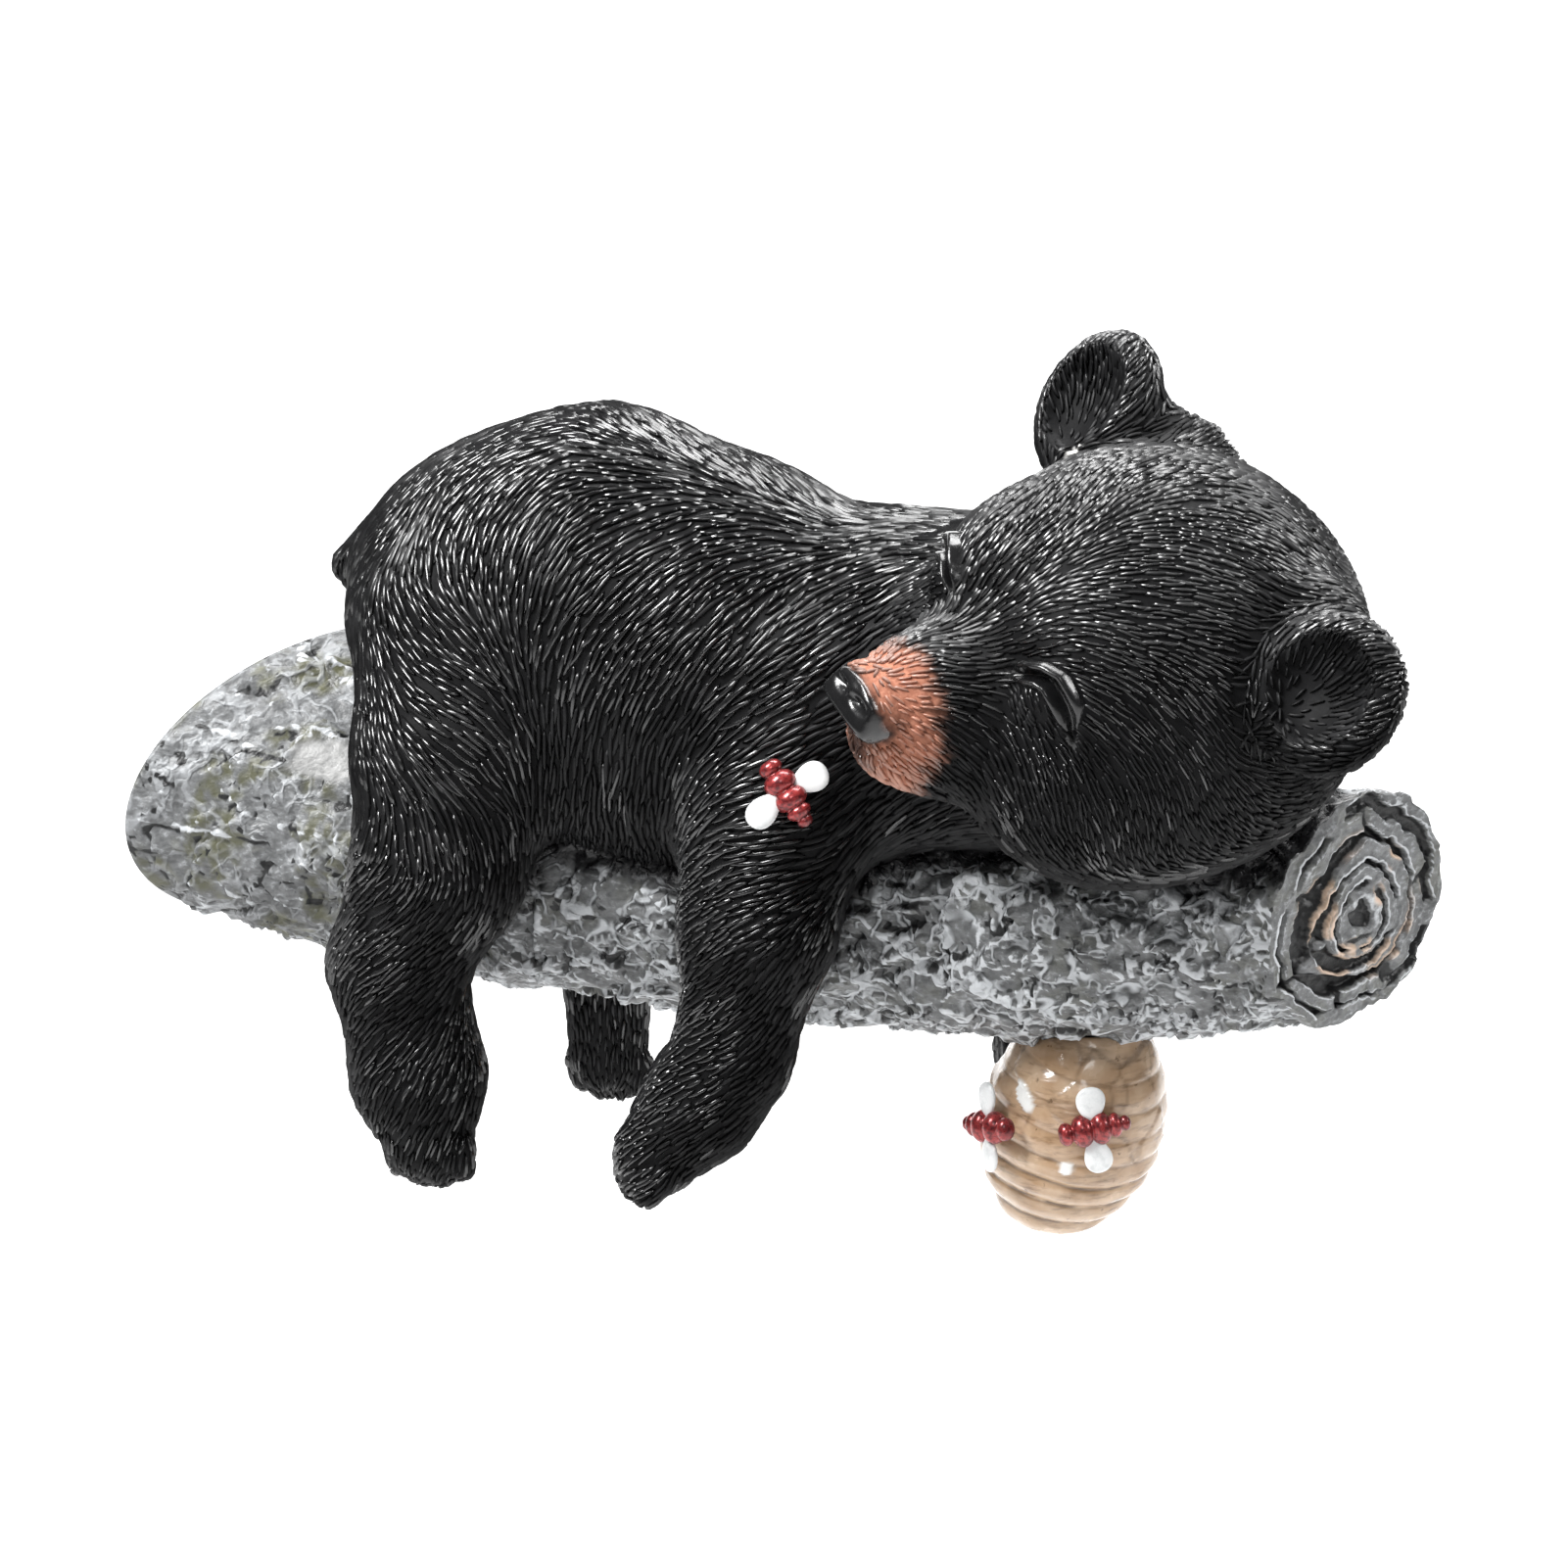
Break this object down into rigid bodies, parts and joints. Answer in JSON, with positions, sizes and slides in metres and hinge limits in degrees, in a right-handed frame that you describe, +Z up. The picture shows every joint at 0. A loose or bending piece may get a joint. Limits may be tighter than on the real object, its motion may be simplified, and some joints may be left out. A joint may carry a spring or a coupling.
{
  "type": "resin bear figurine",
  "caption": "Black bear cub asleep over a grey branch with a beehive under it, cast in resin, flat at the root end to hang on a wall or tree.",
  "frame": {"origin": "a point on the flat root end of the branch, near its middle, where it meets the wall", "axes": "+Z up, +Y into the wall, +X to the right as seen from the front"},
  "size_m": [0.1612, 0.1636, 0.1402],
  "materials": {
    "fur": "cast polyresin, black, satin varnish",
    "bark": "cast polyresin, grey, brushed lighter on the ridges",
    "hive": "cast polyresin, tan with a brown wash, clear gloss",
    "bee": "cast polyresin, dark red body with white wings"
  },
  "bodies": {
    "root": {"bear": "fur", "branch": "bark", "beehive": "hive", "bee_on_foreleg": "bee", "bee_on_hive_front": "bee", "bee_on_hive_side": "bee"}
  },
  "joints": []
}
